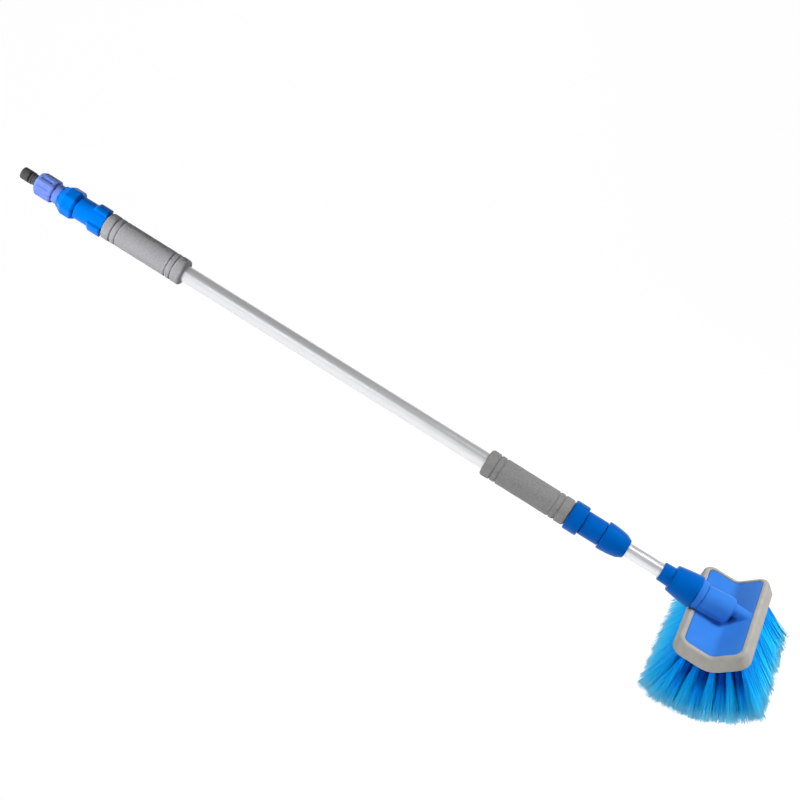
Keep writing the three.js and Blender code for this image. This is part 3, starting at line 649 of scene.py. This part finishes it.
def lock_nut():
    """Level at its large end, closing in towards a chamfered small end"""
    start, end, large = along_pole("lock_nut")
    shoulder, shoulder_radius, small = end - 8.5, 17.9, 13.5
    seat = INNER_TUBE_SEAT / 2
    curve = curved(start, shoulder, lambda share: large - (large - shoulder_radius) * share ** 2)
    thread, collet = 16.55, 14.8
    length, room, collet_length, travel = 38.5, 33.7, 15.6, 1.25
    nut_shoulder = end - length + room
    thread_end = nut_shoulder - collet_length + travel
    add_turned("lock_nut", [
        (start, thread, 0.4), (start, large, 1.3), *curve, (shoulder, shoulder_radius, 2.2),
        (end, small, 1.2), (end, seat, 0.4), (nut_shoulder, seat, 0), (nut_shoulder, collet, 0),
        (thread_end + thread - collet, collet, 0), (thread_end, thread, 0),
    ], "lock_nut", "lock_blue_plastic")


# Head connector

def head_connector():
    """A collar on the inner tube, a bell that widens to the head, and a spigot in the head's socket"""
    start, end, large = along_pole("head_connector")
    bell_start, bell_end = start + 17.5, start + 55.5
    spigot, bore, first, bulge = HEAD_SPIGOT, 6.5, 19.25, 0.3
    collar, collar_foot = 13.7, 14.5
    ring_from_end, ring_section = 8, 2.4

    def bell(share):
        return first + (large - first) * (share + bulge * share * (1 - share))
    seat = INNER_TUBE_SEAT / 2
    tube_end = along_pole("inner_tube")[1] + FIT
    groove = ring_groove(end - ring_from_end, spigot, ring_section)
    add_turned("head_connector", [
        (start, seat, 0.5), (start, collar, 1.0), (bell_start, collar_foot, 0.6), (bell_start, first, 1.4),
        *curved(bell_start, bell_end, bell), (bell_end, large, 1.8), (bell_end, spigot, 0.4), *groove,
        (end, spigot, 0.6), (end, bore, 0.4), (tube_end, bore, 0), (tube_end, seat, 0),
    ], "inner_pole", "lock_blue_plastic")


def coupling_ring():
    start, end, large = along_pole("coupling_ring")
    seat, small = HEAD_SPIGOT + FIT, 20.5
    add_turned("coupling_ring", [
        (start, seat, 0.3), (start, large, 1.4), (end, small, 1.6), (end, seat, 0.3),
    ], "inner_pole", "block_blue_plastic")


# Brush head
# The head's flat pieces are drawn flat, as a place along the head and an offset square to it, and are
# then folded at the crease. Within the fold the place along the head sets the angle.

def coupling_end():
    return along_pole("coupling_ring")[1] + FIT


CREASE_X = coupling_end() + HEAD["back"]
CREASE_Z = -HEAD["drop"]


def folded(along, across, offset):
    """A place along and across the flat head, and an offset square to it, after the fold"""
    if along <= -BEND_INSET:
        return Vector((CREASE_X + along, across, CREASE_Z + offset))
    if along >= BEND_INSET:
        return Vector((
            CREASE_X + along * math.cos(BEND) - offset * math.sin(BEND),
            across,
            CREASE_Z + along * math.sin(BEND) + offset * math.cos(BEND),
        ))
    angle = (along + BEND_INSET) / (2 * BEND_INSET) * BEND
    radius = BEND_RADIUS - offset
    return Vector((
        CREASE_X - BEND_INSET + radius * math.sin(angle),
        across,
        CREASE_Z + BEND_RADIUS - radius * math.cos(angle),
    ))


def slab_outline(back, front, half_width, corner):
    """A rectangle with rounded corners, as (along, across) points"""
    points = []
    middles = [
        (front - corner, half_width - corner),
        (corner - back, half_width - corner),
        (corner - back, corner - half_width),
        (front - corner, corner - half_width),
    ]
    steps = 10
    for quarter, (along, across) in enumerate(middles):
        for step in range(steps + 1):
            angle = (quarter + step / steps) * math.pi / 2
            points.append((along + corner * math.cos(angle), across + corner * math.sin(angle)))
    return points


def flat_slab(back, front, half_width, top, bottom, corner, rounding=(0, 0)):
    """A flat slab, its top and bottom edges rounded over, before it is folded"""
    steps = 7
    angles = [step / steps * math.pi / 2 for step in range(steps + 1)]
    top_rounding, bottom_rounding = rounding
    layers = []
    for angle in angles:
        inset = bottom_rounding * (1 - math.sin(angle))
        layers.append((inset, bottom + bottom_rounding * (1 - math.cos(angle))))
    for angle in angles:
        inset = top_rounding * (1 - math.cos(angle))
        layers.append((inset, top - top_rounding * (1 - math.sin(angle))))
    shape = bmesh.new()
    rings = []
    for inset, offset in layers:
        outline = slab_outline(back - inset, front - inset, half_width - inset, corner - inset)
        rings.append([shape.verts.new((along, across, offset)) for along, across in outline])
    for ring, other in zip(rings, rings[1:]):
        for j in range(len(ring)):
            k = (j + 1) % len(ring)
            shape.faces.new((ring[j], ring[k], other[k], other[j]))
    shape.faces.new(rings[0][::-1])
    shape.faces.new(rings[-1])
    bmesh.ops.remove_doubles(shape, verts=shape.verts, dist=NEAR)
    return shape


def elements(shape):
    return [*shape.verts, *shape.edges, *shape.faces]


def clip(shape, place, out):
    """Cuts away what lies beyond a plane and closes the cut"""
    cut = bmesh.ops.bisect_plane(shape, geom=elements(shape), plane_co=place, plane_no=out, clear_outer=True)
    rim = [element for element in cut["geom_cut"] if isinstance(element, bmesh.types.BMEdge)]
    bmesh.ops.edgeloop_fill(shape, edges=rim)


def fold(shape):
    """Cuts a flat shape across at every step of the fold and folds it"""
    steps = 12
    for step in range(steps + 1):
        place = (-BEND_INSET + 2 * BEND_INSET * step / steps, 0, 0)
        bmesh.ops.bisect_plane(shape, geom=elements(shape), dist=NEAR, plane_co=place, plane_no=(1, 0, 0))
    for vertex in shape.verts:
        vertex.co = folded(*vertex.co)
    bmesh.ops.recalc_face_normals(shape, faces=shape.faces)
    return shape


def head_slab(grow, top, bottom, corner, rounding=(0, 0)):
    """A slab of the head's size, larger by some growth on each side, before it is folded"""
    return flat_slab(
        HEAD["back"] + grow, HEAD["front"] + grow, HEAD["half_width"] + grow, top, bottom, corner, rounding,
    )


def as_object(shape):
    """A helper object for joining and cutting, which is removed afterwards"""
    return new_object("helper", as_mesh("helper", shape))


def taken_back(helper):
    """A helper object with its modifiers applied, as a bmesh"""
    graph = bpy.context.evaluated_depsgraph_get()
    data = bpy.data.meshes.new_from_object(helper.evaluated_get(graph))
    result = bmesh.new()
    result.from_mesh(data)
    bpy.data.meshes.remove(data)
    bpy.data.objects.remove(helper)
    return result


def carved(shape, other, operation="DIFFERENCE"):
    """A shape with another cut out of it, or with only the other's inside kept"""
    base = as_object(shape)
    tool = as_object(other)
    modifier = base.modifiers.new("carve", "BOOLEAN")
    modifier.operation = operation
    modifier.solver = "EXACT"
    modifier.object = tool
    result = taken_back(base)
    bpy.data.objects.remove(tool)
    return result


def moulded(shapes, smoothing):
    """Overlapping shapes as one, with the small radius of a moulded piece on every edge"""
    voxel = 0.9
    whole = bmesh.new()
    for shape in shapes:
        data = as_mesh("part", shape)
        whole.from_mesh(data)
        bpy.data.meshes.remove(data)
    base = as_object(whole)
    remesh = base.modifiers.new("remesh", "REMESH")
    remesh.mode = "VOXEL"
    remesh.voxel_size = voxel
    smooth = base.modifiers.new("smooth", "SMOOTH")
    smooth.factor = HALF
    smooth.iterations = smoothing
    return taken_back(base)


def rod(start, end, radius):
    """A plain cylinder on the pole's axis"""
    return turned([Vector(point) for point in ((start, 0), (start, radius), (end, radius), (end, 0))])


def brush_block():
    """The folded tray with its socket, and a rib from the socket down the front panel"""
    back = coupling_end()
    wall, depth, corner = HEAD["wall"], HEAD["depth"], HEAD["corner"]
    bore, socket_end = HEAD_SPIGOT + LOOSE_FIT, back + 38.5
    outlet_radius, outlet_length, outlet_from_end = 4.5, 40, 9
    shell = fold(head_slab(0, 0, -depth, corner))
    tray = fold(head_slab(-wall, -wall, -depth - OVERCUT, corner - wall))
    outlet = rod(-outlet_length, 0, outlet_radius)
    outlet.transform(Matrix.Rotation(-math.pi / 2, 4, "Y"))
    outlet.transform(Matrix.Translation((socket_end - outlet_from_end, 0, 0)))
    body = carved(shell, tray)
    socket = carved(socket_barrel(back), rod(back - OVERCUT, socket_end, bore))
    shapes = [carved(body, outlet.copy()), carved(socket, outlet), front_rib(back)]
    add_moulded("brush_block", moulded(shapes, smoothing=3), "head", "block_blue_plastic")


def socket_barrel(back):
    """The socket rises a little towards its closed end and is cut square where the coupling meets it"""
    radius, length, rounding, rise = 19, 44.5, 7, math.radians(6)
    outline = [(-OVERCUT, 0, 0), (-OVERCUT, radius, 0), (length, radius, rounding), (length, 0, 0)]
    barrel = turned(softened(outline))
    barrel.transform(Matrix.Rotation(-rise, 4, "Y"))
    clip(barrel, (0, 0, 0), (-1, 0, 0))
    clip(barrel, (0, 0, -HEAD["drop"] - HEAD["wall"] * HALF), (0, 0, -1))
    barrel.transform(Matrix.Translation((back, 0, 0)))
    bmesh.ops.recalc_face_normals(barrel, faces=barrel.faces)
    return barrel


def front_rib(back):
    """A tapering rib from the socket's end into the front panel"""
    start, end, first, last, height = back + 41, back + 70.5, 9.5, 8.5, 9.3
    rib = turned([Vector(point) for point in ((start, 0), (start, first), (end, last), (end, 0))])
    rib.transform(Matrix.Translation((0, 0, height)))
    reach, inset, corner = 60, 1.8, 2
    kept = fold(flat_slab(reach, HEAD["front"] - inset, reach, reach, -inset, corner))
    return carved(rib, kept, "INTERSECT")


def bumper_rim():
    """A rubber frame round the block, rounded over outside, and cut away for the coupling"""
    thickness, rise, depth, corner = 8, 0.5, 22.5, 17
    notch, notch_behind = 25, 13
    top_rounding, bottom_rounding = 4.2, 3.6
    back = coupling_end()
    outer = fold(head_slab(thickness, rise, -depth, corner, (top_rounding, bottom_rounding)))
    inner = fold(head_slab(FIT, rise + OVERCUT, -depth - OVERCUT, HEAD["corner"] + FIT))
    rim = carved(carved(outer, inner), rod(back - notch_behind, back + OVERCUT, notch))
    add_moulded("bumper_rim", moulded([rim], smoothing=4), "head", "bumper_rubber")


# Bristles
# Each tuft is a bundle of fine fibres that fan out from one hole in the backing plate.

TUFT = {
    "rows": 5, "columns": 16, "fibres": 66, "length": 86, "length_spread": 7, "margin": 3.2, "slot": 3,
    "shift": 0.14, "hole": 1.5, "side_fan": 0.082, "front_fan": 0.11,
}
FIBRE = {
    "root": 0.5, "tip": 0.48, "end_share": 0.75, "sides": 3, "segments": 5, "length_spread": 5,
    "wander": 0.012, "bow": 0.3,
}
FEW_TUFTS, FEW_FIBRES = 1.5, 2 # powers that keep the much shorter ones few
# how dark the painted shade on the tufts that lie further in is
PAINTED_SHADE_SHARE = 0.85
TONE_SPREAD = (0.05, 0.1)
LEAN = {"back": -11, "front": 50.5}
SIDE_LEAN = ((0, 20), (0.5, 22.5), (1, 14)) # by share of the way from the back edge to the front one
BEND_LENGTH = (BEND_RADIUS - PLATE_BOTTOM) * BEND
UNDERSIDE = HEAD["back"] + HEAD["front"] - 2 * PLATE_EDGE - 2 * BEND_INSET + BEND_LENGTH


def underside_place(distance):
    """The place along the head of a distance measured on the bent underside, from its back edge"""
    from_bend = distance - (HEAD["back"] - PLATE_EDGE - BEND_INSET)
    if from_bend < 0:
        return from_bend - BEND_INSET
    if from_bend > BEND_LENGTH:
        return from_bend - BEND_LENGTH + BEND_INSET
    return (from_bend / BEND_LENGTH - HALF) * 2 * BEND_INSET


def tuft_way(distance, across):
    """The way a tuft leans: forward by its row, outward by its column"""
    share = distance / UNDERSIDE
    lean = math.radians(LEAN["back"] + (LEAN["front"] - LEAN["back"]) * share)
    widest = np.interp(share, *zip(*SIDE_LEAN))
    side = math.radians(widest) * across / HEAD["half_width"]
    return Vector((math.sin(lean), math.tan(side), -math.cos(lean))).normalized()


def tufts(front, side):
    """The places of the tufts of one quarter, on the underside and across, and 1 for those that get painted shade
    """
    middle = UNDERSIDE / 2
    row_pitch = (middle - TUFT["margin"]) / (TUFT["rows"] - HALF)
    column_pitch = (HEAD["half_width"] - PLATE_EDGE - TUFT["margin"]) / (TUFT["columns"] + HALF)
    for row in range(TUFT["rows"]):
        outermost = row == TUFT["rows"] - 1
        for column in range(TUFT["columns"]):
            shift = 0 if outermost else TUFT["shift"] * (1 if column % 2 else -1)
            from_slot = row_pitch * (row + HALF + shift)
            distance = middle + (from_slot if front else -from_slot)
            stagger = HALF if (row + front) % 2 else 0
            across = side * column_pitch * (column + HALF + stagger)
            # 1 gives painted shade, for the rows that lie half a pitch further in between the others
            shade_and_tone = 0 if stagger or outermost else 1
            yield distance, across, shade_and_tone


def bristle_quarter(name, front, side, node):
    """The fibres of one quarter of the brush, with painted shade on the tufts of every other row"""
    rng = np.random.default_rng(BRUSH_SEED + 2 * front + (side > 0))
    roots, ways, starts, lengths, shades_and_tones = [], [], [], [], []
    for distance, across, shade_and_tone in tufts(front, side):
        place = underside_place(distance)
        root = folded(place, across, PLATE_BOTTOM + 1)
        normal = (folded(place, across, PLATE_BOTTOM) - root).normalized()
        way = tuft_way(distance, across)
        sideways = Vector((0, 1, 0))
        forward = sideways.cross(way).normalized()
        tuft_length = TUFT["length"] - TUFT["length_spread"] * rng.random() ** FEW_TUFTS
        for _ in range(TUFT["fibres"]):
            angle = rng.random() * 2 * math.pi
            reach = math.sqrt(rng.random())
            off_side, off_front = reach * math.cos(angle), reach * math.sin(angle)
            fan = way + sideways * (off_side * TUFT["side_fan"]) + forward * (off_front * TUFT["front_fan"])
            fan += Vector(rng.normal(0, FIBRE["wander"], 3))
            roots.append(root + sideways * (off_side * TUFT["hole"]) + forward * (off_front * TUFT["hole"]))
            ways.append(fan.normalized())
            starts.append(normal)
            lengths.append(tuft_length - FIBRE["length_spread"] * rng.random() ** FEW_FIBRES)
            # painted shade for those tufts, with a random spread of tone on every fibre
            shades_and_tones.append(min(1, max(0, shade_and_tone * PAINTED_SHADE_SHARE + rng.normal(*TONE_SPREAD))))
    add_piece(name, fibre_mesh(name, roots, ways, starts, lengths, shades_and_tones), "head", "bristle_fibre", [node])


def fibre_mesh(name, roots, ways, starts, lengths, shades_and_tones):
    """Thin tapered fibres that leave their hole square to the plate and then lean over"""
    roots, ways, starts = (np.array(values, dtype=float) for values in (roots, ways, starts))
    lengths = above_floor(roots, ways, np.array(lengths))
    shares = np.linspace(0, 1, FIBRE["segments"] + 1)
    bow = FIBRE["bow"] * (shares * (1 - shares))[None, :, None]
    middles = roots[:, None] + lengths[:, None, None] * (
        ways[:, None] * shares[None, :, None] + (starts - ways)[:, None] * bow
    )
    sideways = np.cross(ways, (1.0, 0.0, 0.3))
    sideways /= np.linalg.norm(sideways, axis=1)[:, None]
    forward = np.cross(ways, sideways)
    radii = FIBRE["root"] + (FIBRE["tip"] - FIBRE["root"]) * shares
    radii[-1] *= FIBRE["end_share"]
    corners = []
    for angle in round_angles(FIBRE["sides"]):
        out = sideways * math.cos(angle) + forward * math.sin(angle)
        corners.append(middles + out[:, None] * radii[None, :, None])
    points = np.stack(corners, axis=2).reshape(-1, 3)
    points = points @ np.array(TO_ROW.to_3x3()).T + np.array(TO_ROW.translation)
    data = bpy.data.meshes.new(name)
    data.from_pydata(points.tolist(), [], fibre_faces(len(roots)))
    along = np.tile(np.repeat(shares, FIBRE["sides"]), len(roots))
    shade_and_tone = np.repeat(np.array(shades_and_tones), len(shares) * FIBRE["sides"])
    for number, values in (("along", along), ("shade_and_tone", shade_and_tone)):
        data.attributes.new(number, "FLOAT", "POINT").data.foreach_set("value", values)
    data.shade_smooth()
    return data


def above_floor(roots, ways, lengths):
    """Shortens the fibres that would reach below the floor, unevenly, as bristles are trimmed"""
    clearance, unevenness, smallest_fall = 0.6 * MM, 1.5 * MM, 1e-9
    turn = np.array(TO_ROW.to_3x3())
    heights = roots @ turn[2] + TO_ROW.translation.z
    falls = ways @ turn[2]
    trims = np.random.default_rng(BRUSH_SEED).random(len(lengths)) * unevenness
    longest = np.where(falls < 0, (heights - clearance - trims) / np.maximum(-falls, smallest_fall), lengths)
    return np.minimum(lengths, longest)


def fibre_faces(count):
    """The faces of closed fibres whose points follow ring by ring"""
    sides, segments = FIBRE["sides"], FIBRE["segments"]
    faces = []
    for fibre in range(count):
        first = fibre * (segments + 1) * sides
        for segment in range(segments):
            base = first + segment * sides
            for corner in range(sides):
                other = (corner + 1) % sides
                faces.append((base + corner, base + other, base + sides + other, base + sides + corner))
        faces.append(tuple(first + corner for corner in reversed(range(sides))))
        faces.append(tuple(first + segments * sides + corner for corner in range(sides)))
    return faces


def backing_plate(name, front, side):
    """A quarter of the plate that holds the tufts, between the water slot and the edges"""
    thickness, top_rounding, bottom_rounding = 7, 0.3, 0.8
    top, corner = PLATE_BOTTOM + thickness, HEAD["corner"] - PLATE_EDGE
    slab = head_slab(-PLATE_EDGE, top, PLATE_BOTTOM, corner, (top_rounding, bottom_rounding))
    slot = TUFT["slot"] / 2 / BEND_LENGTH * 2 * BEND_INSET
    clip(slab, (slot if front else -slot, 0, 0), (-1 if front else 1, 0, 0))
    clip(slab, (0, side * FIT / 2, 0), (0, -side, 0))
    add_piece(name, finished_mesh(name, fold(slab), SHARP), "head", "block_blue_plastic")


def brush():
    """Four quarters of bristles, each with its backing plate"""
    for end, front in (("back", False), ("front", True)):
        for hand, side in (("left", 1), ("right", -1)):
            bristle_quarter(f"fibres_{end}_{hand}", front, side, f"bristles_{end}_{hand}")
            backing_plate(f"tuft_plate_{end}_{hand}", front, side)


# Nodes that keep their own solids

def finish_hidden_nodes():
    """Gives every node its slot's finish, and rounds the edges of the ones inside"""
    edge = 0.15 * MM
    slots = {item["node"]: item["material_slot"] for item in frame["record"]["subparts"]}
    for name, node in frame["nodes"].items():
        node.data.materials.clear()
        node.data.materials.append(LOOKS[slots[name]])
        if "_o_ring" in name:
            rounder = node.modifiers.new("rounder", "SUBSURF")
            rounder.levels = rounder.render_levels = 2
        elif slots[name] in ("white_nylon", "seal_rubber"):
            edges = node.modifiers.new("edges", "BEVEL")
            edges.width = edge
            edges.segments = 2
            edges.limit_method = "ANGLE"


# Camera, floor and light

def add_camera():
    """The photograph's viewpoint, in the pole's frame"""
    right = Vector((0.8435610, 0.3698194, 0.3894078))
    up = Vector((-0.5265391, 0.4269064, 0.7351921))
    back = Vector((0.1056476, -0.8252178, 0.5548460))
    place = Vector((869.7, -1737.7, 1179.4))
    turn = TO_ROW.to_3x3().normalized() @ Matrix((right, up, back)).transposed()
    data = bpy.data.cameras.new("camera")
    data.sensor_width = 36
    data.lens = 67.19
    camera = new_object("camera", data)
    camera.matrix_world = Matrix.Translation(TO_ROW @ place) @ turn.to_4x4()
    bpy.context.scene.camera = camera


def seen_directly(nodes, links):
    """1 for what the camera sees by itself, in a reflection or through something clear"""
    path = nodes.new("ShaderNodeLightPath")
    seen = path.outputs["Is Camera Ray"]
    for ray in ("Is Glossy Ray", "Is Transmission Ray"):
        either = nodes.new("ShaderNodeMath")
        either.operation = "MAXIMUM"
        links.new(seen, either.inputs[0])
        links.new(path.outputs[ray], either.inputs[1])
        seen = either.outputs["Value"]
    return seen


def add_floor():
    """White to the camera and to reflections, with the part's own soft shadow on it"""
    segments, half_size = 8, 20
    grey, glow_share, glow_strength = 0.6, 0.9, 1.09
    shape = bmesh.new()
    bmesh.ops.create_grid(shape, x_segments=segments, y_segments=segments, size=half_size)
    data = as_mesh("floor", shape)
    floor = new_object("floor", data)
    material = bpy.data.materials.new("floor_white")
    material.use_nodes = True
    nodes, links = material.node_tree.nodes, material.node_tree.links
    nodes.clear()
    diffuse = nodes.new("ShaderNodeBsdfDiffuse")
    diffuse.inputs["Color"].default_value = (grey, grey, grey, 1)
    glow = nodes.new("ShaderNodeEmission")
    set_inputs(glow, {"Color": WHITE, "Strength": glow_strength})
    share = nodes.new("ShaderNodeMath")
    share.operation = "MULTIPLY"
    share.inputs[1].default_value = glow_share
    links.new(seen_directly(nodes, links), share.inputs[0])
    mix = nodes.new("ShaderNodeMixShader")
    links.new(share.outputs["Value"], mix.inputs["Fac"])
    links.new(diffuse.outputs["BSDF"], mix.inputs[1])
    links.new(glow.outputs["Emission"], mix.inputs[2])
    output = nodes.new("ShaderNodeOutputMaterial")
    links.new(mix.outputs["Shader"], output.inputs["Surface"])
    data.materials.append(material)


def add_sky():
    """A studio dome that is white to the camera, greyer overhead in reflections, and a dim light"""
    dim_strength = 0.28
    world = bpy.data.worlds.new("studio")
    world.use_nodes = True
    nodes, links = world.node_tree.nodes, world.node_tree.links
    coordinates = nodes.new("ShaderNodeTexCoord")
    parts = nodes.new("ShaderNodeSeparateXYZ")
    links.new(coordinates.outputs["Generated"], parts.inputs["Vector"])
    colours = [(0, WHITE), (0.2, shaded(WHITE, 0.6)), (0.5, shaded(WHITE, 0.34))]
    dome = add_ramp(nodes, links, parts.outputs["Z"], colours)
    white = nodes.new("ShaderNodeRGB").outputs["Color"]
    white.default_value = WHITE
    by_camera = nodes.new("ShaderNodeLightPath").outputs["Is Camera Ray"]
    links.new(mix_colours(nodes, links, by_camera, dome, white), nodes["Background"].inputs["Color"])
    strength = nodes.new("ShaderNodeMapRange")
    strength.inputs["To Min"].default_value = dim_strength
    links.new(seen_directly(nodes, links), strength.inputs["Value"])
    links.new(strength.outputs["Result"], nodes["Background"].inputs["Strength"])
    bpy.context.scene.world = world


def add_lamp(name, place, target, size, power, beam=180, card=False):
    """A round lamp. A card is one that only shows in the reflections, and the others don't show in them."""
    data = bpy.data.lights.new(name, "AREA")
    data.shape = "DISK"
    data.size = size
    data.spread = math.radians(beam)
    data.energy = power
    lamp = new_object(name, data)
    lamp.location = place
    lamp.rotation_euler = (Vector(target) - Vector(place)).to_track_quat("-Z", "Y").to_euler()
    lamp.visible_diffuse = not card
    lamp.visible_glossy = card


def light():
    """Broad lamps round the part, low ones for the bristles, and two cards for the tubes"""
    add_sky()
    add_lamp("key", (-1.7, -1.9, 0.1), (-0.5, 0, 0.05), size=0.3, power=4.2, beam=45)
    add_lamp("left_fill", (-0.5, -2.0, 0.5), (0.5, 0, 0.05), size=0.8, power=1.5, beam=45)
    add_lamp("right_fill", (1.6, -1.3, 0.9), (0.5, 0, 0.05), size=0.8, power=0.9, beam=60)
    add_lamp("back_fill", (-0.6, 2.2, 0.4), (-0.3, 0, 0.05), size=0.8, power=1.8, beam=60)
    add_lamp("top", (0.75, 0.6, 1.8), (0.55, 0, 0.05), size=0.8, power=4.6, beam=50)
    add_lamp("low_front", (0.58, -1.2, 0.04), (0.56, 0, -0.01), size=0.06, power=0.018, beam=12)
    add_lamp("low_left", (-0.4, -0.8, 0.04), (0.48, 0, -0.01), size=0.06, power=0.03, beam=12)
    add_lamp("low_right", (1.6, -0.6, 0.04), (0.6, 0, -0.01), size=0.06, power=0.026, beam=12)
    add_lamp("left_card", (-0.65, -1.64, 1.1), (-0.2, 0, 0.05), size=1.2, power=3.8, card=True)
    add_lamp("right_card", (0.52, 0, 1.6), (0.45, 0, 0.1), size=0.6, power=2.4, card=True)


# The whole part

add_camera()
add_floor()
light()
finish_hidden_nodes()
hose_plug()
inlet_adaptor()
union_nut()
end_fitting()
tube("outer_tube", "handle")
tube("inner_tube", "inner_pole")
foam_grip("rear_grip", "light_foam")
foam_grip("front_grip", "dark_foam")
lock_collar()
lock_body()
lock_nut()
head_connector()
coupling_ring()
brush_block()
bumper_rim()
brush()

bpy.context.scene.view_settings.view_transform = "Standard"
